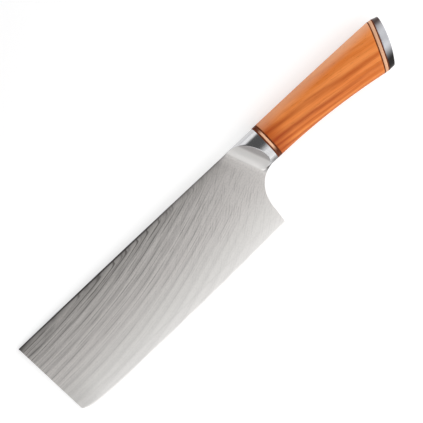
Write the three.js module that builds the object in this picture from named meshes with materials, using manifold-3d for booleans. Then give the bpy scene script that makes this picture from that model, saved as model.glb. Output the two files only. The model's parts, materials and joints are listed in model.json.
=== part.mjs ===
// Vegetable knife with a laminated blade, a forged bolster and a wooden grip on a hidden tang.
// Millimetres. The knife is drawn with its blade flat: X runs from the tip to the butt, Y from the
// edge up to the spine, Z out of its left side, and the tip of the spine is at the drawing's zero.
// It is then laid on its right side, where it rests on the tip of the blade and on the bolster.
import * as THREE from 'three';
import { mergeVertices } from 'three/addons/utils/BufferGeometryUtils.js';
import Module from 'manifold-3d';

const wasm = await Module();
wasm.setup();

// Blade
const bladeLength = 178.5; // tip to heel
const bladeHeight = 59.2; // spine to the lowest point of the edge
const bladeThickness = 2.2;
const coreThickness = 0.8;
const grindHeight = 44; // the convex grind reaches this far above the edge
const shoulderThickness = 0.34; // blade thickness where the grind meets the edge bevel
const edgeBevelWidth = 0.8;
const edgeThickness = 0.1;
const spineCrown = 0.3; // the spine bows up this much in the middle
const tipLean = 3.4; // the toe stands this far behind the tip of the spine
const toeRise = 3.4; // the toe is this far above the lowest point of the edge
const toeRound = 2.6;
const bellyPlace = 62; // lowest point of the edge, from the tip
const heelRise = 1.8; // the heel is this far above the lowest point of the edge
const heelLean = 0.9; // the straight of the heel leans back this much
const heelStraight = 9.5; // height of the straight of the heel

// Bolster
const weldSetback = 1.5; // the weld meets the spine this far behind the heel
const weldSlant = 22; // degrees, the foot of the weld runs towards the butt
const bolsterLength = 23; // weld to the front liner, along the spine
const wheelRadius = 27; // wheel that grinds the scoops
const rampAngle = 23; // degrees, the scoops leave the blade at this angle
const rootInset = 0.7; // the blade's root ends this far ahead of the liner

// Grip
const gripRise = 0.35; // top of the grip over the line of the spine
const gripHeightFront = 25;
const gripThicknessFront = 19;
const gripThicknessRear = 23;
const gripDepthRear = 32.2; // line of the spine to the belly at the rear liner
const gripTopDrop = 1; // the top falls this much to the rear liner
const ovalPower = 2.3; // 2 is an ellipse, more is squarer
const handleLength = 96.4; // wood, along its top
const frontLiner = 0.95; // thickness of each liner by the bolster
const frontRing = 1.6;
const rearLiner = 0.7;
const rearRing = 2.1;
const buttSlant = 23.3; // degrees, the belly is shorter than the top
const sweepAngle = 8; // degrees, the rear liners, ring and cap fall away at this angle
const capLength = 6.1; // on the middle line of the end cap
const capDraw = 0.7; // the wall draws in this much
const rimRound = 0.6;
const domeRadius = 66;

// Tang and stud
const tangThickness = 4;
const tangHeightFront = 10;
const tangHeightRear = 7;
const tangReach = 62; // behind the bolster
const pocketDepth = 8; // tang inside the bolster
const notchRadius = 1.4;
const notchCount = 3; // keying notches along each edge of the tang
const beddingWall = 1.6;
const studDiameter = 5;
const studReach = 18; // ahead of the end cap
const studSeat = 2.4; // inside the end cap
const ribCount = 4;
const ribPitch = 3;
const ribDepth = 0.35;

// Fits
const glueLine = 0.05; // between faces that are welded or glued
const fitGap = 0.3; // round the tang, the bedding and the stud

// Facets
const ovalFacets = 48;
const handleSteps = 12;
const edgeSteps = 13; // on each of the two curves of the edge
const faceSteps = 11; // from the edge bevel up to the spine
const capSteps = 3;
const wheelFacets = 120;
const drillFacets = 24;

const { degToRad, lerp, clamp } = THREE.MathUtils;
const far = bladeLength + handleLength; // longer than anything that has to be cut

// Places along the knife
const weldX = bladeLength + weldSetback;
const weldRun = Math.tan(degToRad(weldSlant)); // run towards the butt for each step down
const ringX = weldX + bolsterLength;
const frontForeX = ringX + glueLine;
const frontRingX = frontForeX + frontLiner + glueLine;
const frontAftX = frontRingX + frontRing + glueLine;
const handleX = frontAftX + frontLiner + glueLine;
const heelY = heelRise - bladeHeight;
const toeY = toeRise - bladeHeight;
const toeX = tipLean + toeRound * 0.8;
const bellyY = gripRise - gripHeightFront; // belly of the grip at the bolster

// Depths behind the wood, square to the slanted seam
const rearForeDepth = glueLine;
const rearRingDepth = rearForeDepth + rearLiner + glueLine;
const rearAftDepth = rearRingDepth + rearRing + glueLine;
const capDepth = rearAftDepth + rearLiner + glueLine;

function solidOf(geometry) {
  const bare = geometry.clone();
  bare.deleteAttribute('normal');
  bare.deleteAttribute('uv');
  const merged = mergeVertices(bare, 1e-5);
  const vertProperties = new Float32Array(merged.attributes.position.array);
  const triVerts = new Uint32Array(merged.index.array);
  return new wasm.Manifold(new wasm.Mesh({ numProp: 3, vertProperties, triVerts }));
}

function geometryOf(solid) {
  const mesh = solid.getMesh();
  const geometry = new THREE.BufferGeometry();
  geometry.setAttribute('position', new THREE.BufferAttribute(mesh.vertProperties, 3));
  geometry.setIndex(new THREE.BufferAttribute(mesh.triVerts, 1));
  geometry.computeVertexNormals();
  return geometry;
}

// A closed skin over a row of convex section rings with the same number of points
function loft(rings) {
  const count = rings[0].length;
  const last = (rings.length - 1) * count;
  const index = [];
  for (let start = 0; start < last; start += count) {
    for (let i = 0; i < count; i++) {
      const next = (i + 1) % count;
      index.push(start + i, start + next, start + count + next);
      index.push(start + i, start + count + next, start + count + i);
    }
  }
  for (let i = 1; i < count - 1; i++) {
    index.push(0, i + 1, i);
    index.push(last, last + i, last + i + 1);
  }
  const geometry = new THREE.BufferGeometry().setFromPoints(rings.flat());
  geometry.setIndex(index);
  return geometry;
}

// A flat outline raised from one height to another
function slab(outline, low, high) {
  const settings = { depth: high - low, bevelEnabled: false, curveSegments: 14 };
  return new THREE.ExtrudeGeometry(outline, settings).translate(0, 0, low);
}

// Cutting edge from the toe over the belly to the heel
function edgePoints() {
  const edge = new THREE.Path();
  edge.moveTo(toeX, toeY);
  edge.bezierCurveTo(
    toeX + toeRound * 2, -bladeHeight,
    bellyPlace / 2, -bladeHeight,
    bellyPlace, -bladeHeight,
  );
  const turnX = lerp(bladeLength, bellyPlace, 0.55);
  edge.quadraticCurveTo(turnX, -bladeHeight, bladeLength, heelY);
  return edge.getPoints(edgeSteps);
}

// Half the thickness of the blade at a height over the cutting edge
function halfThickness(height) {
  const shoulder = shoulderThickness / 2;
  const left = clamp((grindHeight - height) / (grindHeight - edgeBevelWidth), 0, 1);
  return lerp(bladeThickness / 2, shoulder, left ** 2);
}

// Cross-section of the ground blade over one point of the cutting edge
function bladeSection(x, edgeY) {
  const share = clamp(x / bladeLength, 0, 1);
  const spineY = 4 * spineCrown * share * (1 - share);
  const left = [new THREE.Vector3(x, edgeY, edgeThickness / 2)];
  for (let step = 0; step <= faceSteps; step++) {
    const height = lerp(edgeBevelWidth, spineY - edgeY, step / faceSteps);
    left.push(new THREE.Vector3(x, edgeY + height, halfThickness(height)));
  }
  const right = left.map((p) => new THREE.Vector3(p.x, p.y, -p.z));
  return [...right, ...left.reverse()];
}

// The ground bar before it is trimmed, longer than the blade at both ends
function groundBar() {
  const sections = edgePoints().map((p) => bladeSection(p.x, p.y));
  sections.unshift(bladeSection(-tipLean, toeY));
  sections.push(bladeSection(ringX, heelY));
  return solidOf(loft(sections));
}

// Outline of the blade and of the root that joins the bolster, open below the cutting edge
function bladeOutline() {
  const heelTopX = bladeLength + heelLean;
  const heelTopY = heelY + heelStraight;
  const rootX = ringX - rootInset;
  const rootY = bellyY + rootInset / 4; // the root runs out inside the bolster's oval
  const low = -bladeHeight - toeRise;
  const outline = new THREE.Shape();
  outline.moveTo(0, spineCrown * 2);
  outline.lineTo(0, 0);
  outline.lineTo(tipLean, toeY + toeRound);
  outline.quadraticCurveTo(tipLean + toeRound * 0.1, toeY + toeRound * 0.15, toeX, toeY);
  outline.lineTo(toeX + toeRound, low);
  outline.lineTo(bladeLength, low);
  outline.lineTo(bladeLength, heelY);
  outline.lineTo(heelTopX, heelTopY);
  outline.bezierCurveTo(
    heelTopX, lerp(heelTopY, rootY, 0.6),
    lerp(heelTopX, ringX, 0.36), rootY,
    lerp(heelTopX, ringX, 0.88), rootY,
  );
  outline.lineTo(rootX, rootY);
  outline.lineTo(rootX, spineCrown * 2);
  return outline;
}

// Everything between the slanted weld line at startX and endX
function weldSide(startX, endX) {
  const outline = new THREE.Shape();
  outline.moveTo(startX - weldRun * far, far);
  outline.lineTo(startX + weldRun * far, -far);
  outline.lineTo(endX, -far);
  outline.lineTo(endX, far);
  return solidOf(slab(outline, -far, far));
}

// A station of the grip holds the top and the belly of its oval and half its thickness
function frontStation(x) {
  const top = new THREE.Vector3(x, gripRise, 0);
  const belly = new THREE.Vector3(x, bellyY, 0);
  return { top, belly, half: gripThicknessFront / 2 };
}

function woodStation(share) {
  const seamTopY = gripRise - gripTopDrop;
  const bellyLength = handleLength - (seamTopY + gripDepthRear) * Math.tan(degToRad(buttSlant));
  const topY = lerp(gripRise, seamTopY, share ** 2);
  const lowY = lerp(bellyY, -gripDepthRear, share ** 2);
  const top = new THREE.Vector3(handleX + handleLength * share, topY, 0);
  const belly = new THREE.Vector3(handleX + bellyLength * share, lowY, 0);
  return { top, belly, half: lerp(gripThicknessFront, gripThicknessRear, share) / 2 };
}

function rearStation(depth) {
  const { top, belly, half } = woodStation(1);
  const run = depth / Math.cos(degToRad(buttSlant - sweepAngle));
  const fall = degToRad(sweepAngle);
  const sweep = new THREE.Vector3(run * Math.cos(fall), -run * Math.sin(fall), 0);
  return { top: top.add(sweep), belly: belly.add(sweep), half };
}

const centreOf = ({ top, belly }) => top.clone().lerp(belly, 0.5);

// Ring of points round a station's oval, drawn in by an inset and scaled about its centre
function oval(station, inset = 0, scale = 1) {
  const centre = centreOf(station);
  const tall = station.top.distanceTo(station.belly) / 2;
  const up = station.top.clone().sub(centre).normalize();
  const ring = [];
  for (let i = 0; i < ovalFacets; i++) {
    const turn = (2 * Math.PI * i) / ovalFacets;
    const [along, across] = [Math.cos(turn), Math.sin(turn)].map(
      (value) => Math.sign(value) * Math.abs(value) ** (2 / ovalPower),
    );
    const point = up.clone().multiplyScalar(along * (tall - inset) * scale);
    point.z = across * (station.half - inset) * scale;
    ring.push(point.add(centre));
  }
  return ring;
}

// A slice of the grip between two places
const slice = (station, from, to) => solidOf(loft([oval(station(from)), oval(station(to))]));

// Frame of the tang: its line runs from the back of the bolster to the front of the end cap
const tangStart = centreOf(frontStation(ringX));
const tangEnd = centreOf(rearStation(capDepth));
const tangLength = tangStart.distanceTo(tangEnd);
const tangFrame = new THREE.Group();
tangFrame.position.copy(tangStart);
tangFrame.rotation.z = Math.atan2(tangEnd.y - tangStart.y, tangEnd.x - tangStart.x);
tangFrame.updateMatrix();

const onTangLine = (geometry) => solidOf(geometry.clone().applyMatrix4(tangFrame.matrix));

// Tapered flat bar with keying notches along both edges, grown all round for its pocket and slots
function tangGeometry(grow) {
  const halfAt = (x) => {
    const share = (x + pocketDepth) / (tangReach + pocketDepth);
    return lerp(tangHeightFront, tangHeightRear, share) / 2;
  };
  const front = -pocketDepth;
  const outline = new THREE.Shape();
  outline.moveTo(front - grow, -halfAt(front) - grow);
  outline.lineTo(tangReach + grow, -halfAt(tangReach) - grow);
  outline.lineTo(tangReach + grow, halfAt(tangReach) + grow);
  outline.lineTo(front - grow, halfAt(front) + grow);
  const halfWidth = tangThickness / 2 + grow;
  let bar = solidOf(slab(outline, -halfWidth, halfWidth));
  const drill = notchRadius - grow;
  for (let notch = 0; notch < notchCount; notch++) {
    const x = (tangReach * (notch + 0.5)) / notchCount;
    for (const side of [-1, 1]) {
      const cutter = new THREE.CylinderGeometry(drill, drill, tangThickness * 2, drillFacets);
      cutter.rotateX(Math.PI / 2);
      cutter.translate(x, side * halfAt(x), 0);
      bar = bar.subtract(solidOf(cutter));
    }
  }
  return geometryOf(bar);
}

// Slot with round ends that is broached through the wood
function boreGeometry(shrink) {
  const halfWidth = tangThickness / 2 + beddingWall + fitGap - shrink;
  const straight = (tangHeightFront - tangThickness) / 2;
  const outline = new THREE.Shape();
  outline.absarc(0, -straight, halfWidth, Math.PI, 2 * Math.PI);
  outline.absarc(0, straight, halfWidth, 0, Math.PI);
  return slab(outline, 0, tangLength).rotateY(Math.PI / 2);
}

// Stud with saw-tooth ribs on the end that is bedded in the bore
function studGeometry() {
  const radius = studDiameter / 2;
  const profile = [new THREE.Vector2(0, 0)];
  for (let rib = 0; rib < ribCount; rib++) {
    profile.push(new THREE.Vector2(radius - ribDepth, rib * ribPitch));
    profile.push(new THREE.Vector2(radius, (rib + 0.8) * ribPitch));
  }
  const length = studReach + studSeat;
  profile.push(new THREE.Vector2(radius - ribDepth, ribCount * ribPitch));
  profile.push(new THREE.Vector2(radius, ribCount * ribPitch + ribDepth));
  profile.push(new THREE.Vector2(radius, length));
  profile.push(new THREE.Vector2(0, length));
  const stud = new THREE.LatheGeometry(profile, drillFacets);
  return stud.rotateZ(-Math.PI / 2).translate(tangLength - studReach, 0, 0);
}

// Plain hole for the stud, with its clearance all round
function studHole() {
  const radius = studDiameter / 2 + fitGap;
  const length = studReach + studSeat + 2 * fitGap;
  const hole = new THREE.CylinderGeometry(radius, radius, length, drillFacets);
  const middle = tangLength + (studSeat - studReach) / 2;
  return hole.rotateZ(-Math.PI / 2).translate(middle, 0, 0);
}

const bar = groundBar();
const tangSlot = onTangLine(tangGeometry(fitGap));
const studBore = onTangLine(studHole());

// One layer of the blade, between two heights over its middle plane
function bladeLayer(low, high) {
  const layer = solidOf(slab(bladeOutline(), low, high));
  return geometryOf(bar.intersect(layer).intersect(weldSide(weldX, -far)));
}

// The wheel that grinds one side of the bolster, with its axis along the weld
function scoop(side) {
  const lean = degToRad(rampAngle);
  const wheel = new THREE.CylinderGeometry(wheelRadius, wheelRadius, far, wheelFacets);
  wheel.rotateZ(degToRad(weldSlant));
  const x = weldX - (wheelRadius * Math.sin(lean)) / Math.cos(degToRad(weldSlant));
  const z = bladeThickness / 2 + wheelRadius * Math.cos(lean);
  return solidOf(wheel.translate(x, 0, side * z));
}

function bolster() {
  const nose = frontStation(weldX - glueLine);
  nose.top.y = gripRise / 2;
  const body = solidOf(loft([oval(nose), oval(frontStation(ringX))]));
  const root = bar.intersect(solidOf(slab(bladeOutline(), -bladeThickness, bladeThickness)));
  const ground = body.subtract(scoop(1)).subtract(scoop(-1)).add(root);
  return geometryOf(ground.intersect(weldSide(weldX + glueLine, far * 2)).subtract(tangSlot));
}

function frontSlice(x, thickness) {
  return geometryOf(slice(frontStation, x, x + thickness).subtract(tangSlot));
}

function rearSlice(depth, thickness) {
  return geometryOf(slice(rearStation, depth, depth + thickness).subtract(studBore));
}

function handleBlank() {
  const rings = [];
  for (let step = 0; step <= handleSteps; step++) {
    rings.push(oval(woodStation(step / handleSteps)));
  }
  return solidOf(loft(rings));
}

function bedding() {
  const plug = handleBlank().intersect(onTangLine(boreGeometry(fitGap)));
  return geometryOf(plug.subtract(tangSlot).subtract(studBore));
}

// Ring of the end cap, each of its points a share of the way down to the dome and then a step back
function capRing(inset, scale, share, step) {
  const centre = centreOf(rearStation(capDepth));
  return oval(rearStation(capDepth), inset, scale).map((point) => {
    const drop = point.distanceToSquared(centre) / (2 * domeRadius);
    const depth = capDepth + (capLength - drop - rimRound) * share + step;
    return point.sub(centre).add(centreOf(rearStation(depth)));
  });
}

// The cap's wall draws in towards a rounded rim, and a dome closes it
function endCap() {
  const rings = [];
  for (let row = 0; row <= capSteps; row++) {
    const share = row / capSteps;
    rings.push(capRing(capDraw * share ** 2, 1, share, 0));
  }
  for (let row = 1; row <= capSteps; row++) {
    const turn = (Math.PI / 2) * (row / capSteps);
    const inset = capDraw + rimRound * (1 - Math.cos(turn));
    rings.push(capRing(inset, 1, 1, rimRound * Math.sin(turn)));
  }
  for (const scale of [0.85, 0.65, 0.4, 0.15]) {
    rings.push(capRing(capDraw + rimRound, scale, 1, rimRound));
  }
  return geometryOf(solidOf(loft(rings)).subtract(studBore));
}

function finish(color, roughness, metalness) {
  return new THREE.MeshStandardMaterial({ color, roughness, metalness });
}

function addPiece(group, name, geometry, material) {
  const mesh = new THREE.Mesh(geometry, material);
  mesh.name = name;
  group.add(mesh);
}

const patternedSteel = finish(0xb4b0ad, 0.42, 1);
const coreSteel = finish(0xdad9d8, 0.3, 1);
const polishedSteel = finish(0xcfd0d0, 0.15, 1);
const plainSteel = finish(0xa8a8aa, 0.45, 1);
const brass = finish(0xe3b08c, 0.25, 1);
const darkFibre = finish(0x2d1707, 0.7, 0);
const wood = finish(0xd7824b, 0.5, 0);
const epoxy = finish(0x8c7a55, 0.4, 0);

const coreHalf = coreThickness / 2;
const knife = new THREE.Group();
addPiece(knife, 'blade_core', bladeLayer(-coreHalf, coreHalf), coreSteel);
addPiece(knife, 'left_cladding', bladeLayer(coreHalf + glueLine, bladeThickness), patternedSteel);
addPiece(knife, 'right_cladding', bladeLayer(-bladeThickness, -coreHalf - glueLine), patternedSteel);
addPiece(knife, 'bolster', bolster(), polishedSteel);
addPiece(knife, 'front_liner_fore', frontSlice(frontForeX, frontLiner), darkFibre);
addPiece(knife, 'front_ring', frontSlice(frontRingX, frontRing), brass);
addPiece(knife, 'front_liner_aft', frontSlice(frontAftX, frontLiner), darkFibre);
addPiece(knife, 'handle', geometryOf(handleBlank().subtract(onTangLine(boreGeometry(0)))), wood);
addPiece(knife, 'tang_bedding', bedding(), epoxy);
addPiece(knife, 'rear_liner_fore', rearSlice(rearForeDepth, rearLiner), darkFibre);
addPiece(knife, 'rear_ring', rearSlice(rearRingDepth, rearRing), brass);
addPiece(knife, 'rear_liner_aft', rearSlice(rearAftDepth, rearLiner), darkFibre);
addPiece(knife, 'end_cap', endCap(), polishedSteel);
addPiece(tangFrame, 'tang', tangGeometry(0), plainSteel);
addPiece(tangFrame, 'cap_stud', studGeometry(), plainSteel);
knife.add(tangFrame);

// Lay the knife on its right side, tipped until the bolster is as low as the tip of the blade
const corner = new THREE.Vector3();
const { position } = knife.getObjectByName('bolster').geometry.attributes;
for (let i = 0; i < position.count; i++) {
  corner.fromBufferAttribute(position, i);
  const pitch = Math.atan2(corner.z + bladeThickness / 2, corner.x);
  knife.rotation.y = Math.min(knife.rotation.y, pitch);
}

// Centre it over the origin with its lowest point on z = 0
const box = new THREE.Box3().setFromObject(knife, true);
const middle = box.getCenter(new THREE.Vector3());
knife.position.set(-middle.x, -middle.y, -box.min.z);

const part = new THREE.Group();
part.add(knife);
export default part;
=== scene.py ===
import bmesh
import bpy
import json
from bl_math import clamp, lerp
from math import asin, copysign, cos, e, pi, radians, sin, sqrt, tan
from mathutils import Color, Matrix, Vector


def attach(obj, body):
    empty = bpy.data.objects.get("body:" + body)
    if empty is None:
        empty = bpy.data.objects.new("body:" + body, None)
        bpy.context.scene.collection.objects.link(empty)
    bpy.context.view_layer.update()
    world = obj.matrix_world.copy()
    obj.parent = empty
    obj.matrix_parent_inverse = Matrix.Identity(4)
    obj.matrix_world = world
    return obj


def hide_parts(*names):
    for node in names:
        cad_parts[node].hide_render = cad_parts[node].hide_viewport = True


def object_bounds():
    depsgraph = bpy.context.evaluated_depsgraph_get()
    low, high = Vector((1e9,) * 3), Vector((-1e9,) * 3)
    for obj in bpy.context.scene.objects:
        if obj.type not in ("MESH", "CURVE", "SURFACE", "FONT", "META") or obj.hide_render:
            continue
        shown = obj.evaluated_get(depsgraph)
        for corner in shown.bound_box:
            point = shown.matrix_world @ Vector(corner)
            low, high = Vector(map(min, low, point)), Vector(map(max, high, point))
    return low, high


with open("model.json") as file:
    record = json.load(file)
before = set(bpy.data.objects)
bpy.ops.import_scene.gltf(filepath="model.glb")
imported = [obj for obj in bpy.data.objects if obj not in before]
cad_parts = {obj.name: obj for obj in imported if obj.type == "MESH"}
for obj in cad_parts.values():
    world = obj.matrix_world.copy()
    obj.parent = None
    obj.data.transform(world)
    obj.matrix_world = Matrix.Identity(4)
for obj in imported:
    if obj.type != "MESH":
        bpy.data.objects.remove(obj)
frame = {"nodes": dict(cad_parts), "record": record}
cadLow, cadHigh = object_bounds()
mm = 0.001
tiny = 1e-6  # for divisions by nothing and the borders of grids
listing = Vector((1, 7, 41))  # extruded faces are put in order along this, so that each run is the same

# The knife is drawn in millimetres with its blade flat: x from the tip to the butt, y from the edge
# up to the spine, z out of the left side, zero at the tip of the spine. Then it is laid down.


# Curves and borders

def curvePoint(curve, share):
    while len(curve) > 1:
        curve = [a.lerp(b, share) for a, b in zip(curve, curve[1:])]
    return curve[0]


def curveReach(curve, axis, value, halvings=22):  # where a curve that rises on an axis gets to a value
    low, high = 0.0, 1.0
    for halving in range(halvings):
        middle = (low + high) / 2
        if curvePoint(curve, middle)[axis] < value:
            low = middle
        else:
            high = middle
    return curvePoint(curve, middle)


def remap(value, stops):
    for (a, low), (b, high) in zip(stops, stops[1:]):
        if value <= b:
            return lerp(low, high, (value - a) / (b - a))
    return stops[-1][1]


def borderEdges(verts):
    inside = set(verts)
    return {edge for vert in verts for edge in vert.link_edges if edge.other_vert(vert) in inside}


def roundEdges(bm, edges, radius, clampOverlap=False):
    bmesh.ops.bevel(
        bm, geom=edges, offset=radius, segments=3,
        affect="EDGES", profile=0.5, material=-1, clamp_overlap=clampOverlap,
    )


# Blade

blade = dict(
    length=178.5, height=59.2, thickness=2.2, coreThickness=0.8,
    grindHeight=44, shoulder=0.34, edgeBevel=0.8, edgeFlat=0.1, spineCrown=0.3,
    tipLean=3.4, toeRise=3.4, toeRound=2.6, toeWidth=0.8, toeReach=2, bellyPlace=62, bellyReach=0.55,
    heelRise=1.8, heelLean=0.9, heelStraight=9.5,
    layerGap=0.01, spineRound=0.28, mergeGap=0.002, columns=150, rows=46,
    claddingFoot=0.5,  # the share of a cladding's rows that is below the weld
    coreBevel=0.06, coreBare=0.6, coreFoot=0.8,  # and of the core's: in its bevel, bare, below the weld
)
toeY = blade["toeRise"] - blade["height"]
toeX = blade["tipLean"] + blade["toeRound"] * blade["toeWidth"]
heelY = blade["heelRise"] - blade["height"]
heelTop = Vector((blade["length"] + blade["heelLean"], heelY + blade["heelStraight"]))
toeCurve = [
    Vector((toeX, toeY)),
    Vector((toeX + blade["toeRound"] * blade["toeReach"], -blade["height"])),
    Vector((blade["bellyPlace"] / 2, -blade["height"])),
    Vector((blade["bellyPlace"], -blade["height"])),
]
heelCurve = [
    Vector((blade["bellyPlace"], -blade["height"])),
    Vector((lerp(blade["length"], blade["bellyPlace"], blade["bellyReach"]), -blade["height"])),
    Vector((blade["length"], heelY)),
]


def edgeHeight(x):
    curve = toeCurve if x < blade["bellyPlace"] else heelCurve
    return curveReach(curve, 0, x).y


def spineHeight(x):
    share = clamp(x / blade["length"])
    return 4 * blade["spineCrown"] * share * (1 - share)


def halfThickness(height):  # convex grind, with a small bevel along the edge
    shoulder = blade["shoulder"] / 2
    if height < blade["edgeBevel"]:
        return lerp(blade["edgeFlat"] / 2, shoulder, height / blade["edgeBevel"])
    left = clamp((blade["grindHeight"] - height) / (blade["grindHeight"] - blade["edgeBevel"]))
    return lerp(blade["thickness"] / 2, shoulder, left ** 2)


def grindReach(half):  # height over the edge at which the grind has this half thickness
    spread = (blade["thickness"] - blade["shoulder"]) / 2
    left = sqrt((blade["thickness"] / 2 - half) / spread)
    return lerp(blade["grindHeight"], blade["edgeBevel"], left)


def tipSide(y):
    toeTop = toeY + blade["toeRound"]
    if y > toeTop:
        return blade["tipLean"] * y / toeTop
    turn = clamp((toeTop - y) / blade["toeRound"])
    return lerp(blade["tipLean"], toeX, 1 - sqrt(1 - turn * turn))


def buttSide(y):  # up the heel, round the choil and along the weld
    if y < heelTop.y:
        return lerp(blade["length"], heelTop.x, (y - heelY) / blade["heelStraight"])
    return min(weldX - weldRun * y, curveReach(choilCurve, 1, y).x)


def bladeSheet(bm, low, outside, plan):  # one side of a blade layer, from a height over the edge up
    sheet = bmesh.ops.create_grid(bm, x_segments=blade["columns"], y_segments=blade["rows"], size=0.5)
    borders = dict(tip=[], spine=[])
    for vert in sheet["verts"]:
        along, rise = vert.co.x + 0.5, remap(vert.co.y + 0.5, plan)
        left = tipSide(lerp(toeY + low, 0, rise))
        right = buttSide(lerp(heelY + low, 0, rise))
        x = lerp(left, right, along)
        edge = edgeHeight(x)
        y = lerp(edge + low, spineHeight(x), rise)
        vert.co = (x, y, outside(y - edge))
        if along < tiny:
            borders["tip"].append(vert)
        if rise > 1 - tiny:
            borders["spine"].append(vert)
    return borders


def addBack(bm, backHeight):  # makes a sheet solid, with each point of its back at a new height
    back = bmesh.ops.extrude_face_region(bm, geom=bm.faces[:])
    for vert in back["geom"]:
        if isinstance(vert, bmesh.types.BMVert):
            vert.co.z = backHeight(vert.co.z)
    bm.faces.sort(key=lambda face: face.calc_center_median().dot(listing))


def makeCladding(side):
    bm = bmesh.new()
    inner = blade["coreThickness"] / 2 + blade["layerGap"]
    low = grindReach(inner + blade["layerGap"])
    footRise = (weldFoot - heelY - low) / (-heelY - low)
    plan = [(0, 0), (blade["claddingFoot"], footRise), (1, 1)]
    borders = bladeSheet(bm, low, halfThickness, plan)
    outerEdges = borderEdges(borders["tip"]) | borderEdges(borders["spine"])
    addBack(bm, lambda z: inner)
    roundEdges(bm, list(outerEdges), blade["spineRound"], clampOverlap=True)
    bmesh.ops.remove_doubles(bm, verts=bm.verts, dist=blade["mergeGap"])
    bmesh.ops.scale(bm, vec=(1, 1, side), verts=bm.verts)
    return bm


def makeCore():
    bm = bmesh.new()
    half = blade["coreThickness"] / 2
    full = -heelY
    plan = [
        (0, 0),
        (blade["coreBevel"], blade["edgeBevel"] / full),
        (blade["coreBare"], grindReach(half) / full),
        (blade["coreFoot"], (weldFoot - heelY) / full),
        (1, 1),
    ]
    bladeSheet(bm, 0, lambda height: min(half, halfThickness(height)), plan)
    addBack(bm, lambda z: -z)
    return bm


# Bolster

bolster = dict(
    setback=1.5, slant=22, length=23,
    rise=0.35, height=25, thickness=19, power=2.3,  # the oval barrel that the grip carries on
    scoopRise=0.234, scoopPower=1.5, crease=0.5, fillet=0.6, footRun=5,
    topRound=0.25, topShare=0.75, flangeShare=0.08, settles=3, flangeSettles=8,
    rootInset=0.175, choilRise=0.6, choilTurn=0.36, choilEnd=0.88,
    pocket=8.5, slotRadius=3.1, slotStraight=3.1, mergeGap=1e-4, columns=150, rows=64, sharp=62,
)
weldX = blade["length"] + bolster["setback"]
weldRun = tan(radians(bolster["slant"]))
ringX = weldX + bolster["length"]
middleY = bolster["rise"] - bolster["height"] / 2
bellyY = bolster["rise"] - bolster["height"]
rootY = bellyY + bolster["rootInset"]
choilCurve = [
    heelTop,
    Vector((heelTop.x, lerp(heelTop.y, rootY, bolster["choilRise"]))),
    Vector((lerp(heelTop.x, ringX, bolster["choilTurn"]), rootY)),
    Vector((lerp(heelTop.x, ringX, bolster["choilEnd"]), rootY)),
]
weldFoot = curveReach([Vector((p.x + weldRun * p.y, p.y)) for p in choilCurve], 0, weldX).y


def smoothLeast(a, b, width):  # the lesser of two heights, with the crease between them rounded
    near = max(width - abs(a - b), 0) / width
    return min(a, b) - near * near * width / 4


def scoopHeight(x, y):  # how far the ground scoop stands over the blade, behind the slanted weld
    behind = max(x + y * weldRun - weldX, 0) * cos(radians(bolster["slant"]))
    foot = clamp((y - bellyY) / (max(bolster["footRun"] - behind, 0) / 2 + tiny))  # flush at the choil
    return bolster["scoopRise"] * behind ** bolster["scoopPower"] * foot * foot * (3 - 2 * foot)


def barrelHeight(y):
    share = clamp(abs(y - middleY) / (bolster["height"] / 2))
    return bolster["thickness"] / 2 * (1 - share ** bolster["power"]) ** (1 / bolster["power"])


def bolsterPoint(along, around):
    rows = bolster["rows"]
    side = 1 if around < 0.5 else -1
    down = 1 - abs(1 - 2 * around)  # 0 at the top, 1 at the belly
    step = clamp((down * rows - 1) / (rows - 2)) * (1 + bolster["flangeShare"])
    share = (1 - cos(pi * clamp(step))) / 2
    flange = clamp((step - 1) / bolster["flangeShare"])  # from the belly of the barrel to the choil
    top, low = bolster["rise"] / 2, weldFoot
    settles = bolster["flangeSettles"] if flange else bolster["settles"]
    for settle in range(settles):  # the weld slants, so x and y depend on each other
        y = lerp(lerp(top, bellyY, share), low, flange)
        x = lerp(weldX - weldRun * y, ringX, along)
        top = lerp(bolster["rise"] / 2, bolster["rise"], clamp((x - weldX) / bolster["length"]))
        if flange:
            low = min(bellyY, curveReach(choilCurve, 0, x).y)
    over = clamp((top - y) / bolster["topRound"])
    root = halfThickness(y - heelY) * lerp(bolster["topShare"], 1, sqrt(1 - (1 - over) ** 2))
    scoop = scoopHeight(x, y)
    ground = smoothLeast(barrelHeight(y), root + scoop, bolster["crease"] * clamp(scoop) + tiny)
    z = -smoothLeast(-root, -ground, min(bolster["fillet"], scoop) + tiny)
    if min(down, 1 - down) < 0.5 / rows:  # the seams at the top and the belly
        z = 0
    return Vector((x, y, side * z))


def makeBolster():
    bm = bmesh.new()
    columns, rows = bolster["columns"], 2 * bolster["rows"]
    skin = bmesh.ops.create_grid(bm, x_segments=columns, y_segments=rows, size=0.5)
    front, back = [], []
    for vert in skin["verts"]:
        along = vert.co.x + 0.5
        vert.co = bolsterPoint(along, vert.co.y + 0.5)
        if along < tiny:
            front.append(vert)
        if along > 1 - tiny:
            back.append(vert)
    bmesh.ops.remove_doubles(bm, verts=bm.verts, dist=bolster["mergeGap"])
    front = [vert for vert in front if vert.is_valid]
    back = [vert for vert in back if vert.is_valid]
    bmesh.ops.contextual_create(bm, geom=list(borderEdges(front)))
    seat = Vector((ringX - grip["seat"], middleY, 0))
    slot = Vector((0, 1, 0)), bolster["slotRadius"], bolster["slotStraight"]
    mouth = slotLoop(bm, seat, *slot)
    floor = slotLoop(bm, seat - Vector((bolster["pocket"], 0, 0)), *slot)
    bmesh.ops.bridge_loops(bm, edges=list(borderEdges(back)) + mouth)
    bmesh.ops.bridge_loops(bm, edges=mouth + floor)
    bmesh.ops.contextual_create(bm, geom=floor)
    return bm


# Grip

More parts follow.
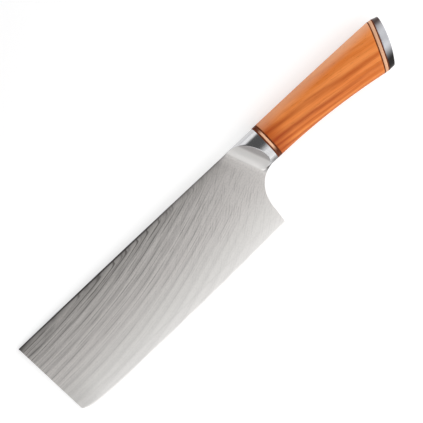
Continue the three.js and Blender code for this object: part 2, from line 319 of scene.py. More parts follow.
grip = dict(
    length=96.4, thicknessRear=22.95, depthRear=32.2, topDrop=1, slant=23.3, sweep=8,
    frontLiner=0.95, frontRing=1.6, rearLiner=0.7, rearRing=2.1, joint=0.05, seat=0.01,
    boreRadius=3.9, boreStraight=3, boreStretch=1.07, facets=128, steps=28,
    linerRound=0.08, ringRound=0.16, woodRound=0.12,
)
handleX = ringX + 2 * grip["frontLiner"] + grip["frontRing"] + 4 * grip["joint"]


def frontStation(x):  # the top, the belly and the half thickness of the oval there
    return Vector((x, bolster["rise"], 0)), Vector((x, bellyY, 0)), bolster["thickness"] / 2


def woodStation(share):
    seamTop = bolster["rise"] - grip["topDrop"]
    bellyLength = grip["length"] - (seamTop + grip["depthRear"]) * tan(radians(grip["slant"]))
    top = Vector((handleX + grip["length"] * share, lerp(bolster["rise"], seamTop, share ** 2), 0))
    belly = Vector((handleX + bellyLength * share, lerp(bellyY, -grip["depthRear"], share ** 2), 0))
    return top, belly, lerp(bolster["thickness"], grip["thicknessRear"], share) / 2


def rearStep(depth):  # from the slanted seam to a depth square to it
    run = depth / cos(radians(grip["slant"] - grip["sweep"]))
    fall = radians(grip["sweep"])
    return Vector((run * cos(fall), -run * sin(fall), 0))


def rearStation(depth):
    top, belly, half = woodStation(1)
    return top + rearStep(depth), belly + rearStep(depth), half


def bend(value):  # from a circle to the oval
    return copysign(abs(value) ** (2 / bolster["power"]), value)


def ovalLoop(bm, station, inset=0, scale=1):
    top, belly, half = station
    middle = (top + belly) / 2
    up = (top - middle).normalized()
    tall = (top - middle).length
    loop = bmesh.ops.create_circle(bm, segments=grip["facets"], radius=1)["verts"]
    for vert in loop:
        along = bend(vert.co.y) * (tall - inset) * scale
        across = bend(vert.co.x) * (half - inset) * scale
        vert.co = middle + up * along + Vector((0, 0, across))
    return list(borderEdges(loop))


def slotLoop(bm, middle, up, radius, straight, stretch=1, level=1e-4):
    loop = bmesh.ops.create_circle(bm, segments=grip["facets"], radius=radius)["verts"]
    for vert in loop:
        shift = copysign(straight, vert.co.y) if abs(vert.co.y) > level else 0
        vert.co = middle + up * (vert.co.y + shift) * stretch + Vector((0, 0, vert.co.x))
    return list(borderEdges(loop))


def stationFrame(station):  # its middle and the way up
    top, belly = station[:2]
    return (top + belly) / 2, (top - belly).normalized()


def bridgeAll(bm, loops):
    for a, b in zip(loops, loops[1:]):
        bmesh.ops.bridge_loops(bm, edges=a + b)


def makeSleeve(stations, bore, rim):  # a stretch of the grip with a bore through it
    bm = bmesh.new()
    loops = [ovalLoop(bm, station) for station in stations]
    bridgeAll(bm, loops)
    radius, straight, stretch = bore
    holes = []
    centre = (stationFrame(stations[0])[0] + stationFrame(stations[-1])[0]) / 2
    for station, loop in ((stations[0], loops[0]), (stations[-1], loops[-1])):
        middle, up = stationFrame(station)
        middle += (centre - middle).normalized() * grip["seat"]  # sunk, so that the bridge can't twist
        hole = slotLoop(bm, middle, up, radius, straight, stretch)
        bmesh.ops.bridge_loops(bm, edges=loop + hole)
        holes += hole
    bmesh.ops.bridge_loops(bm, edges=holes)
    bmesh.ops.recalc_face_normals(bm, faces=bm.faces)
    roundEdges(bm, loops[0] + loops[-1], rim)
    return bm


def makeFrontSlice(start, thickness, rim):
    bore = bolster["slotRadius"], bolster["slotStraight"], 1
    return makeSleeve([frontStation(start), frontStation(start + thickness)], bore, rim)


def makeRearSlice(depth, thickness, rim):
    bore = cap["studRadius"], 0, grip["boreStretch"]
    return makeSleeve([rearStation(depth), rearStation(depth + thickness)], bore, rim)


def makeHandle():
    stations = [woodStation(step / grip["steps"]) for step in range(grip["steps"] + 1)]
    bore = grip["boreRadius"], grip["boreStraight"], grip["boreStretch"]
    return makeSleeve(stations, bore, grip["woodRound"])


# End cap

cap = dict(
    length=6.05, draw=0.65, rimRound=0.4, dome=66, rows=5, rimRows=8,
    domeRings=(0.96, 0.9, 0.8, 0.65, 0.5, 0.35, 0.2, 0.1),
    studRadius=2.8, studDepth=2.7,
)


def capLoop(bm, station, inset, scale, share, step):  # each point goes its own way down to the dome
    middle = stationFrame(station)[0]
    edges = ovalLoop(bm, station, inset, scale)
    for vert in {vert for edge in edges for vert in edge.verts}:
        drop = (vert.co - middle).length_squared / (2 * cap["dome"])
        vert.co += rearStep((cap["length"] - drop - cap["rimRound"]) * share + step)
    return edges


def makeCap(depth):
    bm = bmesh.new()
    station = rearStation(depth)
    loops = []
    for row in range(cap["rows"] + 1):
        share = row / cap["rows"]
        loops.append(capLoop(bm, station, cap["draw"] * share, 1, share, 0))
    for row in range(1, cap["rimRows"] + 1):
        turn = pi / 2 * row / cap["rimRows"]
        inset = cap["draw"] + cap["rimRound"] * (1 - cos(turn))
        loops.append(capLoop(bm, station, inset, 1, 1, cap["rimRound"] * sin(turn)))
    for scale in cap["domeRings"]:
        loops.append(capLoop(bm, station, cap["draw"] + cap["rimRound"], scale, 1, cap["rimRound"]))
    bridgeAll(bm, loops)
    bmesh.ops.contextual_create(bm, geom=loops[-1])
    stud = cap["studRadius"], 0, grip["boreStretch"]
    mouth = slotLoop(bm, *stationFrame(rearStation(depth + grip["seat"])), *stud)
    floor = slotLoop(bm, *stationFrame(rearStation(depth + cap["studDepth"])), *stud)
    bmesh.ops.bridge_loops(bm, edges=loops[0] + mouth)
    bmesh.ops.bridge_loops(bm, edges=mouth + floor)
    bmesh.ops.contextual_create(bm, geom=floor)
    bmesh.ops.recalc_face_normals(bm, faces=bm.faces)
    roundEdges(bm, loops[0], grip["ringRound"])
    return bm


# Laying down and adding

def restMatrix():
    leftFace = next(m for m in frame["record"]["mounts"] if m["name"] == "left_blade_face")
    turn = asin(leftFace["axis"][0])  # nose down, until the tip touches the floor
    half = blade["thickness"] / 2
    zero = cadLow + Vector((-half * sin(turn), blade["height"], half * cos(turn))) * mm
    return Matrix.Translation(zero) @ Matrix.Rotation(turn, 4, "Y") @ Matrix.Scale(mm, 4)


layDown = restMatrix()


def addPiece(node, bm, material, sharp=38):
    bmesh.ops.transform(bm, matrix=layDown, verts=bm.verts)
    bmesh.ops.recalc_face_normals(bm, faces=bm.faces)
    mesh = bpy.data.meshes.new(node + "_shown")
    bm.to_mesh(mesh)
    bm.free()
    mesh.shade_smooth()
    mesh.set_sharp_from_angle(angle=radians(sharp))
    mesh.materials.append(material)
    piece = bpy.data.objects.new(node + "_shown", mesh)
    bpy.context.scene.collection.objects.link(piece)
    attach(piece, "root")
    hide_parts(node)
    print("piece", piece.name, len(mesh.polygons), "faces")


# Finishes

class Wire:  # a node's output, so that maths on it adds Math nodes
    def __init__(self, tree, socket=None):
        self.tree = tree
        self.socket = socket

    def add(self, kind, settings, sockets, output=0):
        node = self.tree.nodes.new("ShaderNode" + kind)
        for name, value in settings.items():
            if name == "stops":
                setStops(node.color_ramp, value)
            else:
                setattr(node, name, value)
        for name, value in sockets.items():
            if isinstance(value, Wire):
                self.tree.links.new(value.socket, node.inputs[name])
            else:
                node.inputs[name].default_value = value
        return Wire(self.tree, node.outputs[output] if node.outputs else None)

    def maths(self, operation, *values):
        return self.add("Math", {"operation": operation}, dict(enumerate(values)))

    def __add__(self, other):
        return self.maths("ADD", self, other)

    def __radd__(self, other):
        return self.maths("ADD", other, self)

    def __sub__(self, other):
        return self.maths("SUBTRACT", self, other)

    def __rsub__(self, other):
        return self.maths("SUBTRACT", other, self)

    def __mul__(self, other):
        return self.maths("MULTIPLY", self, other)

    def __rmul__(self, other):
        return self.maths("MULTIPLY", other, self)

    def __truediv__(self, other):
        return self.maths("DIVIDE", self, other)

    def __rtruediv__(self, other):
        return self.maths("DIVIDE", other, self)

    def __pow__(self, other):
        return self.maths("POWER", self, other)

    def __rpow__(self, other):
        return self.maths("POWER", other, self)

    def __abs__(self):
        return self.maths("ABSOLUTE", self)


def setStops(ramp, stops):
    while len(ramp.elements) < len(stops):
        ramp.elements.new(1)
    for element, (place, colour) in zip(ramp.elements, stops):
        element.position = place
        element.color = colour


def paint(red, green, blue):  # screen values to a colour socket
    return (*Color((red / 255, green / 255, blue / 255)).from_srgb_to_scene_linear(), 1)


def most(a, b):
    return a.maths("MAXIMUM", a, b)


def least(a, b):
    return a.maths("MINIMUM", a, b)


def between(value, low, high, start=0.0, end=1.0):  # soft step from low to high
    limits = {"From Min": low, "From Max": high, "To Min": start, "To Max": end}
    return value.add("MapRange", {"interpolation_type": "SMOOTHSTEP"}, {"Value": value, **limits})


def offLine(count, place=0.5):  # 0 on a line that comes once in each whole count, more away from it
    return abs(count.maths("FRACT", count) - place) * 2


def noise(*axes, stretch, cut=0.0, detail=2.0, roughness=0.5):  # with two axes, a slice at the cut
    place = [axis * share for axis, share in zip(axes, stretch)]
    if len(place) < 3:
        place.append(cut)
    spot = axes[0].add("CombineXYZ", {}, dict(zip("XYZ", place)))
    return spot.add("TexNoise", {}, {"Vector": spot, "Scale": 1.0, "Detail": detail, "Roughness": roughness})


def sway(value, amount):  # noise to both sides of nothing
    return (value - 0.5) * amount


def blend(share, a, b):
    settings = {"data_type": "RGBA", "blend_type": "MIX"}
    return share.add("Mix", settings, {0: share, 6: a, 7: b}, 2)


def bump(height, strength, distance):
    sockets = {"Height": height, "Strength": strength, "Distance": distance * mm}
    return height.add("Bump", {}, sockets)


def newFinish(name):
    material = bpy.data.materials.new(name)
    material.use_nodes = True
    material.node_tree.nodes.clear()
    spot = Wire(material.node_tree).add("TexCoord", {}, {}, "Object")
    turn, scale = layDown.to_euler(), (mm, mm, mm)
    sockets = {"Vector": spot, "Location": layDown.translation, "Rotation": turn, "Scale": scale}
    spot = spot.add("Mapping", {"vector_type": "TEXTURE"}, sockets)  # back to the drawing's millimetres
    x, y, z = (spot.add("SeparateXYZ", {}, {"Vector": spot}, axis) for axis in "XYZ")
    return material, x, y, z


def finish(wire, **sockets):
    names = {name.replace("_", " "): value for name, value in sockets.items()}
    shader = wire.add("BsdfPrincipled", {}, names)
    wire.add("OutputMaterial", {}, {"Surface": shader})


# Layered steel

# In this and the next dictionaries a range is from and to, then the values there where they aren't 0 and 1
folds = dict(
    centreX=-8, centreY=480,  # the layers run round a far centre over the tip
    spacing=2.36, widening=300, heelCloser=(60, 170, 1, 1.08),
    drift=dict(stretch=(0.01, 0.04), detail=3, roughness=0.45), driftLayers=1.5,
    hookDepth=3.2, hookRise=2, hookEnd=1,
    bandCount=0.5, bandEdge=(0.1, 0.9),
    linePlace=0.16, lineWidth=0.36, hookWidth=0.16,
    patches=dict(stretch=(0.04, 0.3), cut=4, detail=1), patchEdge=(0.38, 0.6), hookPatch=1.4,
    threadCount=1.7, threadEdge=(0, 0.6, 1, 0),
    threadDrift=dict(stretch=(0.03, 0.2), cut=5), threadLayers=1.4,
    breaks=dict(stretch=(0.06, 0.7), cut=9, detail=1), breakEdge=(0.42, 0.6),
)


def foldFields(x, y):  # distance across and along the folded layers, in millimetres
    sideways = x - folds["centreX"]
    upwards = folds["centreY"] - y
    hook = between(y, -folds["hookDepth"], 0) * folds["hookRise"]  # they end in the spine
    across = (sideways * sideways + upwards * upwards) ** 0.5 - folds["centreY"] + hook
    along = sideways.maths("ARCTAN2", sideways, upwards) * folds["centreY"]
    return across, along


def foldLines(across, along, y, hooks):  # soft dark bands, thin lines in them, and finer threads
    drift = noise(along, across, **folds["drift"])
    spread = 1 + across / folds["widening"]  # the layers widen away from the spine
    count = spread.maths("LOGARITHM", spread, e) * (folds["widening"] / folds["spacing"])
    count = count * between(along, *folds["heelCloser"]) + drift * folds["driftLayers"]
    band = between(offLine(count * folds["bandCount"]), *folds["bandEdge"])
    patches = between(noise(along, across, **folds["patches"]), *folds["patchEdge"])
    patches = most(patches, hooks * folds["hookPatch"])
    width = between(y, -folds["hookDepth"], -folds["hookEnd"], folds["lineWidth"], folds["hookWidth"])
    line = between(offLine(count, folds["linePlace"]), 0, width, 1, 0) * patches
    threads = count * folds["threadCount"]
    threads = threads + noise(along, across, **folds["threadDrift"]) * folds["threadLayers"]
    breaks = between(noise(along, across, **folds["breaks"]), *folds["breakEdge"])
    fine = between(offLine(threads), *folds["threadEdge"]) * breaks
    return band, line, fine


hatching = dict(
    lean=0.8, shrink=0.78, spacing=1.5, edge=(0, 0.7, 1, 0),
    drift=dict(stretch=(0.06, 0.2), cut=2), driftMarks=2.2,
    patches=dict(stretch=(0.09, 0.4), cut=6), patchEdge=(0.4, 0.65),
    low=0.05, more=0.26, moreAlong=(70, 170), fading=(-52, -24, 0.3, 1),
)


def hatchLines(x, y):  # short marks that lean towards the spine, deeper by the heel
    across = (y - x * hatching["lean"]) * hatching["shrink"]
    along = (x + y * hatching["lean"]) * hatching["shrink"]
    marks = across / hatching["spacing"] + noise(along, across, **hatching["drift"]) * hatching["driftMarks"]
    line = between(offLine(marks), *hatching["edge"])
    line = line * between(noise(along, across, **hatching["patches"]), *hatching["patchEdge"])
    depth = hatching["low"] + between(x, *hatching["moreAlong"]) * hatching["more"]
    return line * depth * between(y, *hatching["fading"])


etching = dict(
    high=(-54, -6),  # the etch is deepest by the spine
    topHeight=(-15, -1), topAlong=(50, 130, 1, 0.25),
    hookHeight=(-9, -3), hooksFrom=(40, 60), hooksTo=(112, 136, 1, 0),
    wisps=dict(stretch=(0.035, 0.7), cut=8, detail=3, roughness=0.55), wispEdge=(0.5, 0.66), wispDepth=0.8,
    bandLow=0.09, bandHigh=0.25, lineLow=0.04, lineHigh=0.62, lineHooks=0.3, lineTop=0.3,
    layersAlong=(105, 158, 1, 0.45), fineLow=0.03, fineHigh=0.32, fineAlong=(100, 155, 1, 1.3),
    heelAlong=(144, 168, 1, 0.45), weldFade=(-9, -3, 1, 0),
    grain=dict(stretch=(0.9, 0.9, 0.9), detail=4, roughness=0.6), grainEdge=(0.4, 0.72),
    # the levels darken towards the spine: partly the etched cladding's own tone, partly painted shade
    levels=(  # from the spine to the edge
        (0.0, paint(163, 159, 157)), (0.05, paint(196, 192, 189)), (0.2, paint(220, 216, 213)),
        (0.5, paint(230, 226, 223)), (0.8, paint(236, 234, 231)), (1.0, paint(243, 241, 239)),
    ),
    dark=paint(92, 89, 87), darkShare=0.75, grainLow=0.05, grainHigh=0.1,
    heelLight=paint(242, 238, 235), heelLightAlong=(40, 175), heelLightShare=0.1,
    bare=paint(236, 232, 229), bareShare=0.55,
    toeAlong=(24, 3), toeHeight=(-28, -50), toeShare=0.14,
    weld=paint(254, 251, 248), weldRange=(-2.8, -0.1), weldShare=0.62,
    # the spine colour is a painted dark reflection along the rounded spine
    spine=paint(66, 64, 64), spineHeight=(-1.3, -0.3), spineAlong=(90, 150, 0.9, 0.35),
    rough=(-58, -2, 0.38, 0.5), roughEtch=0.1, roughSway=0.08, grainBump=0.3, bump=(0.12, 0.05),
)


def layeredSteel(name):
    material, x, y, z = newFinish(name)
    across, along = foldFields(x, y)
    hooks = between(y, *etching["hookHeight"]) * between(x, *etching["hooksFrom"])
    hooks = hooks * between(x, *etching["hooksTo"])  # these are crisp
    band, line, fine = foldLines(across, along, y, hooks)
    wisps = between(noise(along, across, **etching["wisps"]), *etching["wispEdge"])
    high = between(y, *etching["high"])
    top = between(y, *etching["topHeight"]) * between(x, *etching["topAlong"])
    toWeld = x + y * weldRun - weldX
    clear = between(toWeld, *etching["weldFade"])

    etch = band * (etching["bandLow"] + high * etching["bandHigh"])
    lineDepth = etching["lineLow"] + high * etching["lineHigh"]
    lineDepth = lineDepth + hooks * etching["lineHooks"] + top * etching["lineTop"]
    etch = etch + line * lineDepth + wisps * top * etching["wispDepth"]
    fineDepth = etching["fineLow"] + high * etching["fineHigh"]
    etch = etch * between(x, *etching["layersAlong"]) + fine * fineDepth * between(x, *etching["fineAlong"])
    etch = etch * between(x, *etching["heelAlong"])
    etch = least((etch + hatchLines(x, y)) * clear, 1.0)

    share = y * (-1 / blade["height"])
    tint = share.add("ValToRGB", {"stops": etching["levels"]}, {"Fac": share})
    heel = between(x, *etching["heelLightAlong"])
    tint = blend(heel * etching["heelLightShare"], tint, etching["heelLight"])
    tint = blend((1 - clear) * high * etching["bareShare"], tint, etching["bare"])
    toe = between(x, *etching["toeAlong"]) * between(y, *etching["toeHeight"])
    tint = blend(toe * etching["toeShare"], tint, etching["dark"])
    weldSide = between(toWeld, *etching["weldRange"])  # polished with the scoop behind the weld
    tint = blend(weldSide * etching["weldShare"], tint, etching["weld"])
    tint = blend(etch * etching["darkShare"], tint, etching["dark"])
    # painted dark reflection: a dark line along the spine, strongest towards the tip
    spine = between(y, *etching["spineHeight"]) * between(x, *etching["spineAlong"])
    tint = blend(spine, tint, etching["spine"])
    grain = noise(x, y, z, **etching["grain"])
    flecks = between(grain, *etching["grainEdge"]) * (etching["grainLow"] + high * etching["grainHigh"])
    tint = blend(flecks, tint, etching["dark"])
    rough = between(y, *etching["rough"]) + etch * etching["roughEtch"] + sway(grain, etching["roughSway"])
    finish(
        x, Base_Color=tint, Metallic=1.0, Roughness=rough,
        Normal=bump(grain * etching["grainBump"] - etch, *etching["bump"]),
    )
    return material


# Plain steel

brushing = dict(
    marks=dict(stretch=(6, 0.25, 0.25), detail=5, roughness=0.6), markEdge=(0.35, 0.7),
    cloud=dict(stretch=(0.12, 0.12, 0.12)), bump=(0.05, 0.02),
)


def brushMarks(x, y, z):  # fine scratches round the grip, and slow clouds of wear
    return noise(x, y, z, **brushing["marks"]), noise(x, y, z, **brushing["cloud"])


bolsterLook = dict(
    barrel=paint(190, 190, 191), scratch=paint(180, 180, 182),
    offBarrel=(0.05, 0.45), besideWeld=(5, 2.5),
    wheel=dict(stretch=(0.15, 3, 0.3), detail=4),
    weld=paint(238, 235, 232), scoop=paint(224, 222, 220), scoopRange=(0, 2.2), scoopLow=0.8, scoopWheel=0.2,
    foot=paint(186, 184, 182), footHeight=(-19, -24), footFrom=(0.4, 1.6), footTo=(6, 3), footShare=0.3,
    # the steep colour is a painted dark reflection on the steep part of the scoop, mixed with its grinding
    # marks
    steep=paint(172, 168, 168), steepRange=(6.6, 8.4), steepLow=0.75, steepWheel=0.3,
    # the top colour is a painted highlight along the top of the barrel
    top=paint(232, 232, 234), topHeight=(-2.4, -1), topShare=0.3,
    # the under colour is a painted dark reflection on the belly and its rim
    under=paint(52, 50, 50), underShare=0.85, underMatt=0.8,
    bellyHeight=(-22, -24.7), bellyFrom=(6, 10), rimHeight=(-24.1, -24.5), rimFrom=(1.5, 4),
    rough=0.15, markSway=0.1, cloudSway=0.06, roughGround=0.22, roughWheel=0.08, specular=0.2,
)


def bolsterSteel():
    look = bolsterLook
    material, x, y, z = newFinish("bolsterSteel")
    share = abs(y - middleY) / (bolster["height"] / 2)
    barrel = (1 - least(share, 1.0) ** bolster["power"]) ** (1 / bolster["power"])
    behind = (x + y * weldRun - weldX) * cos(radians(bolster["slant"]))
    ground = between(abs(barrel * (bolster["thickness"] / 2) - abs(z)), *look["offBarrel"])
    ground = most(ground, between(behind, *look["besideWeld"]))  # 1 off the barrel and beside the weld
    marks, cloud = brushMarks(x, y, z)
    wheel = noise(x + y * weldRun, y - x * weldRun, z, **look["wheel"])

    tint = blend(between(marks, *brushing["markEdge"]), look["barrel"], look["scratch"])
    scooped = blend(between(behind, *look["scoopRange"]), look["weld"], look["scoop"])
    foot = between(y, *look["footHeight"]) * between(behind, *look["footFrom"])
    foot = foot * between(behind, *look["footTo"])
    scooped = blend(foot * look["footShare"], scooped, look["foot"])
    tint = blend(ground * (look["scoopLow"] + wheel * look["scoopWheel"]), tint, scooped)
    # the steep part of the scoop is painted darker, a painted reflection
    steep = between(behind, *look["steepRange"]) * ground
    tint = blend(steep * (look["steepLow"] + wheel * look["steepWheel"]), tint, look["steep"])
    # painted highlight: paler steel along the top of the barrel
    tint = blend(between(y, *look["topHeight"]) * (1 - ground) * look["topShare"], tint, look["top"])
    belly = between(y, *look["bellyHeight"]) * between(behind, *look["bellyFrom"])
    under = most(belly, between(y, *look["rimHeight"]) * between(behind, *look["rimFrom"]))
    tint = blend(under * look["underShare"], tint, look["under"])  # painted dark reflection underneath
    rough = look["rough"] + sway(marks, look["markSway"]) + sway(cloud, look["cloudSway"])
    rough = rough + ground * (look["roughGround"] + wheel * look["roughWheel"])
    grooves = marks * (1 - ground) + wheel * ground
    finish(
        x, Base_Color=tint, Metallic=1 - under * look["underMatt"], Roughness=rough,
        Specular_IOR_Level=look["specular"], Normal=bump(grooves, *brushing["bump"]),
    )
    return material


capLook = dict(
    steel=paint(206, 207, 211), scratch=paint(194, 195, 200),
    # the top and belly colours are painted dark reflections at the cap's corners
    top=paint(58, 40, 36), topHeight=(-11.5, -3.8), topShare=0.95,
    belly=paint(16, 9, 5), bellyHeight=(-18, -28), bellyShare=0.97, bellyMatt=0.9,
    rough=0.3, markSway=0.1, cloudSway=0.08, specular=0.05,
)


def capSteel():
    look = capLook
    material, x, y, z = newFinish("capSteel")
    marks, cloud = brushMarks(x, y, z)
    tint = blend(between(marks, *brushing["markEdge"]), look["steel"], look["scratch"])
    tint = blend(between(y, *look["topHeight"]) * look["topShare"], tint, look["top"])  # painted dark reflections at both corners
    # the belly corner is a painted dark reflection, nearly black and less metallic
    belly = between(y, *look["bellyHeight"])
    tint = blend(belly * look["bellyShare"], tint, look["belly"])
    rough = look["rough"] + sway(marks, look["markSway"]) + sway(cloud, look["cloudSway"])
    finish(
        x, Base_Color=tint, Metallic=1 - belly * look["bellyMatt"], Roughness=rough,
        Specular_IOR_Level=look["specular"], Normal=bump(marks, *brushing["bump"]),
    )
    return material


barLook = dict(
    mill=dict(stretch=(0.2, 5, 5), detail=5, roughness=0.6),
    steel=paint(190, 190, 192), scratch=paint(160, 160, 164),
    rough=0.36, millSway=0.2, cloudSway=0.06,
)


def plainSteel():  # as milled, for the tang and the stud
    look = barLook
    material, x, y, z = newFinish("plainSteel")
    mill = noise(x, y, z, **look["mill"])
    cloud = noise(x, y, z, **brushing["cloud"])
    tint = blend(between(mill, *brushing["markEdge"]), look["steel"], look["scratch"])
    rough = look["rough"] + sway(mill, look["millSway"]) + sway(cloud, look["cloudSway"])
    finish(x, Base_Color=tint, Metallic=1.0, Roughness=rough, Normal=bump(mill, *brushing["bump"]))
    return material


# Rings, liners and bedding

brassLook = dict(
    lathe=dict(stretch=(7, 0.2, 0.2), detail=5, roughness=0.6),
    brass=paint(255, 206, 172), scratch=paint(240, 184, 146),
    dull=paint(190, 138, 102), rear=(40, 60), dullShare=0.4,
    # brown at the front ring's ends is a painted dark reflection; the tarnish noise also adds some random
    # brown
    brown=paint(84, 28, 4), front=(20, 0), topEnd=(-7.4, -2.6), bellyEnd=(-15.5, -21.5), brownShare=0.95,
    tarnish=dict(stretch=(0.3, 0.35, 0.35), detail=3), tarnishSway=0.3,
    rough=0.4, latheSway=0.14, roughBrown=0.1, metal=0.12, specular=0.05, bump=(0.06, 0.02),
)


def ringBrass():
    look = brassLook
    material, x, y, z = newFinish("ringBrass")
    behind = x - handleX
    lathe = noise(x, y, z, **look["lathe"])
    tarnish = noise(x, y, z, **look["tarnish"])
    ends = between(y, *look["topEnd"]) + between(y, *look["bellyEnd"])
    ends = ends * between(behind, *look["front"])  # the front ring's ends are painted dark brown, a painted dark reflection
    tint = blend(between(lathe, *brushing["markEdge"]), look["brass"], look["scratch"])
    tint = blend(between(behind, *look["rear"]) * look["dullShare"], tint, look["dull"])
    tint = blend(ends * look["brownShare"] + sway(tarnish, look["tarnishSway"]), tint, look["brown"])
    rough = look["rough"] + sway(lathe, look["latheSway"]) + ends * look["roughBrown"]
    finish(
        x, Base_Color=tint, Metallic=look["metal"] - ends * look["metal"], Roughness=rough,
        Specular_IOR_Level=look["specular"], Normal=bump(lathe, *look["bump"]),
    )
    return material


fibreLook = dict(
    fleck=dict(stretch=(2.5, 2.5, 2.5), detail=4, roughness=0.65), fleckEdge=(0.35, 0.68),
    dark=paint(92, 40, 15), pale=paint(128, 61, 26),
    rough=0.6, roughFleck=0.2, specular=0.15, bump=(0.2, 0.05),
)


def darkFibre():
    look = fibreLook
    material, x, y, z = newFinish("darkFibre")
    fleck = noise(x, y, z, **look["fleck"])
    tint = blend(between(fleck, *look["fleckEdge"]), look["dark"], look["pale"])
    finish(
        x, Base_Color=tint, Roughness=look["rough"] + fleck * look["roughFleck"],
        Specular_IOR_Level=look["specular"], Normal=bump(fleck, *look["bump"]),
    )
    return material


epoxyLook = dict(
    cloud=dict(stretch=(0.3, 0.3, 0.3), detail=3), dark=paint(140, 122, 84), pale=paint(166, 146, 104),
    bubbles=dict(stretch=(2.2, 2.2, 2.2), detail=1), bubbleEdge=(0.68, 0.74), bubbleShare=0.5,
    bubble=paint(206, 192, 158), rough=0.3, roughCloud=0.15, bump=(0.2, 0.1),
)


def setEpoxy():
    look = epoxyLook
    material, x, y, z = newFinish("setEpoxy")
    cloud = noise(x, y, z, **look["cloud"])
    bubbles = between(noise(x, y, z, **look["bubbles"]), *look["bubbleEdge"])
    tint = blend(cloud, look["dark"], look["pale"])
    tint = blend(bubbles * look["bubbleShare"], tint, look["bubble"])
    rough = look["rough"] + cloud * look["roughCloud"]
    finish(x, Base_Color=tint, Roughness=rough, Normal=bump(bubbles, *look["bump"]))
    return material


# Wood

woodLook = dict(
    pale=paint(243, 149, 77), middle=paint(227, 126, 53), deep=paint(162, 52, 0),
    # the pale colour at the end of the next line is a painted sheen, not wear
    pore=paint(112, 40, 4), paintedSheen=paint(252, 190, 150),
    slope=0.095, curve=0.0004, through=0.25,  # how the grain runs down, bends and goes through the grip
    streaks=(  # place, half width and strength
        (-5.8, 3.04, 0.8), (-13.2, 2.56, 0.85), (-16.9, 1.6, 0.55), (-20.7, 1.92, 0.5), (4.4, 1.44, 0.25),
    ),
    wander=dict(stretch=(0.022, 0.07), cut=3), wanderSway=3.6,
    patches=dict(stretch=(0.03, 0.3), cut=7), patchEdge=(0.3, 0.6, 0.5, 1), streakFade=(0, 110, 1, 0.4),
    cloud=dict(stretch=(0.014, 0.2, 0.12), detail=3, roughness=0.55), cloudEdge=(0.32, 0.68),
    veins=dict(stretch=(0.008, 0.6, 0.5)), veinEdge=(0.42, 0.64), veinHeight=(-6, -22, 0.05, 0.2),
    fibre=dict(stretch=(0.05, 2.2, 2.2), detail=3, roughness=0.6), fibreStart=0.4, fibreShare=0.6,
    pores=dict(stretch=(0.14, 3.6, 3.6), detail=1), poreEdge=(0.66, 0.76), poreShare=0.4,
    darkEnd=(16, 0, 0, 0.5),
    # where the painted sheen lies: near the top, on the left shoulder, along the grip
    sheenHeight=(-8, -0.5), sheenSide=(0.8, 4.2), sheenAlong=(30, 95, 0.52, 0.78),
    rough=0.44, roughFibre=0.16, roughPores=0.1, fibreBump=0.6, bump=(0.12, 0.06), specular=0.18,
)


def woodStreaks(x, behind, across):  # dark summer wood that pales towards the butt
    look = woodLook
    wander = sway(noise(x, across, **look["wander"]), look["wanderSway"])
    total = sum(
        between(abs(across + wander - place), 0, half, strength, 0)
        for place, half, strength in look["streaks"]
    )
    patches = between(noise(x, across, **look["patches"]), *look["patchEdge"])
    return total * patches * between(behind, *look["streakFade"])


def handleWood():
    look = woodLook
    material, x, y, z = newFinish("handleWood")
    behind = x - handleX
    across = y + behind * (look["slope"] + behind * look["curve"]) + z * look["through"]
    cloud = noise(x, across, z, **look["cloud"])
    fibre = noise(x, across, z, **look["fibre"])
    veins = between(noise(x, across, z, **look["veins"]), *look["veinEdge"])
    pores = between(noise(x, across, z, **look["pores"]), *look["poreEdge"])
    tint = blend(between(cloud, *look["cloudEdge"]), look["pale"], look["middle"])
    tint = blend(woodStreaks(x, behind, across), tint, look["deep"])
    tint = blend(veins * between(y, *look["veinHeight"]), tint, look["deep"])
    tint = blend((fibre - look["fibreStart"]) * look["fibreShare"], tint, look["deep"])
    tint = blend(between(behind, *look["darkEnd"]), tint, look["deep"])
    tint = blend(pores * look["poreShare"], tint, look["pore"])
    # painted sheen: paler wood along the left shoulder, where the wood would shine
    paintedSheen = between(y, *look["sheenHeight"]) * between(z, *look["sheenSide"])  # along the left shoulder
    tint = blend(paintedSheen * between(behind, *look["sheenAlong"]), tint, look["paintedSheen"])
    rough = look["rough"] + fibre * look["roughFibre"] + pores * look["roughPores"]
    finish(
        x, Base_Color=tint, Roughness=rough, Specular_IOR_Level=look["specular"],
        Normal=bump(fibre * look["fibreBump"] - pores, *look["bump"]),
    )
    return material


# Stage

studio = dict(
    wall=(0.42, 0.70, 1.55, 0.15),  # bright walls under a dim ceiling
    bellyShade=(-0.75, -0.15, 0.1, 1),  # dim where the belly softbox hangs
    skirting=(0.15, 0.3, 0.8, 0),  # but for a bright strip near the floor
    tipShade=(-0.9, 0.2, 0.6, 1), buttShade=(0.25, 0.7, 1, 0.44),
    height=0.4, turn=5,
    panels=(  # name, x from and to, y from and to, radiance
        ("bellyFeather", -0.6, 1.1, -0.05, -0.003, 0.45),
        ("bellyEdge", -0.6, 1.1, -0.11, -0.05, 0.95),
        ("bellySoftbox", -0.6, 1.1, -2.2, -0.11, 1.4),
        ("buttSoftbox", 0.222, 0.95, -0.1, 0.6, 0.9),
    ),
)


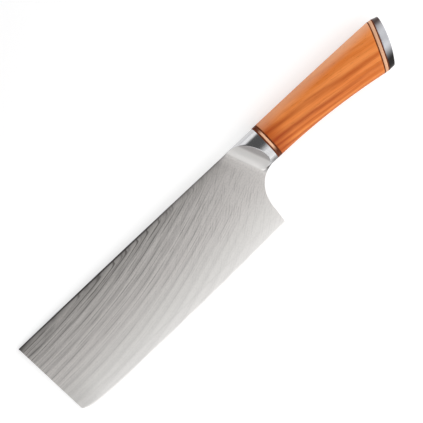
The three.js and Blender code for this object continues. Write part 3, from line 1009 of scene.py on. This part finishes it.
def lightStudio():
    world = bpy.data.worlds.new("studio")
    bpy.context.scene.world = world
    world.use_nodes = True
    world.node_tree.nodes.clear()
    toSky = Wire(world.node_tree).add("TexCoord", {}, {}, "Generated")
    x, y, z = (toSky.add("SeparateXYZ", {}, {"Vector": toSky}, axis) for axis in "XYZ")
    shade = most(between(y, *studio["bellyShade"]), between(z, *studio["skirting"]))
    level = between(z, *studio["wall"]) * shade
    level = level * between(x, *studio["tipShade"]) * between(x, *studio["buttShade"])
    glow = level.add("Background", {}, {"Color": level, "Strength": 1.0})
    level.add("OutputWorld", {}, {"Surface": glow})

    turn = Matrix.Rotation(radians(studio["turn"]), 4, "Z")
    for name, left, right, front, back, radiance in studio["panels"]:
        lamp = bpy.data.lights.new(name, "AREA")
        lamp.shape = "RECTANGLE"
        lamp.size, lamp.size_y = right - left, back - front
        lamp.energy = radiance * pi * lamp.size * lamp.size_y
        box = bpy.data.objects.new(name, lamp)
        middle = (left + right) / 2, (front + back) / 2, studio["height"]
        box.matrix_world = turn @ Matrix.Translation(middle)
        box.visible_camera = False
        bpy.context.scene.collection.objects.link(box)


paleFloor = dict(colour=(0.62, 0.62, 0.62, 1), glow=0.56, size=30, squares=8)


def addFloor():
    bm = bmesh.new()
    squares = paleFloor["squares"]
    bmesh.ops.create_grid(bm, x_segments=squares, y_segments=squares, size=paleFloor["size"] / 2)
    mesh = bpy.data.meshes.new("floor")
    bm.to_mesh(mesh)
    bm.free()
    material = bpy.data.materials.new("paleFloor")
    material.use_nodes = True
    material.node_tree.nodes.clear()
    start = Wire(material.node_tree)
    matt = start.add("BsdfDiffuse", {}, {"Color": paleFloor["colour"]})
    rays = ("Is Camera Ray", "Is Glossy Ray", "Is Transmission Ray")
    camera, glossy, through = (start.add("LightPath", {}, {}, ray) for ray in rays)
    seen = most(most(camera, glossy), through)
    glow = start.add("Emission", {}, {"Color": (1, 1, 1, 1), "Strength": seen * paleFloor["glow"]})
    both = start.add("AddShader", {}, {0: matt, 1: glow})
    start.add("OutputMaterial", {}, {"Surface": both})
    mesh.materials.append(material)
    floor = bpy.data.objects.new("floor", mesh)
    bpy.context.scene.collection.objects.link(floor)


photo = dict(tilt=4.6, roll=43.45, middle=(148.65, -20.4, 0), span=268.0, distance=3000, sensor=36, far=100)


def addCamera():
    turn = layDown.to_3x3().normalized()
    back = turn @ Vector((-sin(radians(photo["tilt"])), 0, cos(radians(photo["tilt"]))))
    up = turn @ Vector((sin(radians(photo["roll"])), cos(radians(photo["roll"])), 0))
    right = up.cross(back).normalized()
    up = back.cross(right)
    lens = bpy.data.cameras.new("camera")
    lens.sensor_width = photo["sensor"]
    lens.lens = photo["sensor"] * photo["distance"] / photo["span"]
    lens.clip_end = photo["far"]
    camera = bpy.data.objects.new("camera", lens)
    place = layDown @ Vector(photo["middle"]) + back * photo["distance"] * mm
    camera.matrix_world = Matrix.Translation(place) @ Matrix((right, up, back)).transposed().to_4x4()
    bpy.context.scene.collection.objects.link(camera)
    bpy.context.scene.camera = camera


# Assembly

def addSlices(end, makeSlice, place):  # a ring between two liners
    liner = grip[end + "Liner"], grip["linerRound"], fibre, "dark_fibre"
    ring = grip[end + "Ring"], grip["ringRound"], brass, "ring_brass"
    slices = (("_liner_fore", liner), ("_ring", ring), ("_liner_aft", liner))
    for name, (thickness, rim, material, slot) in slices:
        addPiece(end + name, makeSlice(place, thickness, rim), material)
        place += thickness + grip["joint"]
    return place


patternedSteel = layeredSteel("patternedSteel")
edgeSteel = layeredSteel("edgeSteel")
barSteel = plainSteel()
brass = ringBrass()
fibre = darkFibre()
timber = handleWood()
epoxy = setEpoxy()
print("finishes made")

addPiece("left_cladding", makeCladding(1), patternedSteel)
addPiece("right_cladding", makeCladding(-1), patternedSteel)
addPiece("blade_core", makeCore(), edgeSteel)
addPiece("bolster", makeBolster(), bolsterSteel(), sharp=bolster["sharp"])
addSlices("front", makeFrontSlice, ringX + grip["joint"])
addPiece("handle", makeHandle(), timber)
capDepth = addSlices("rear", makeRearSlice, grip["joint"])
addPiece("end_cap", makeCap(capDepth), capSteel())

for node, material in (("tang", barSteel), ("cap_stud", barSteel), ("tang_bedding", epoxy)):
    frame["nodes"][node].data.materials.clear()
    frame["nodes"][node].data.materials.append(material)
print("hidden pieces dressed")

bpy.context.scene.view_settings.view_transform = "Standard"
lightStudio()
addFloor()
addCamera()
print("stage set")
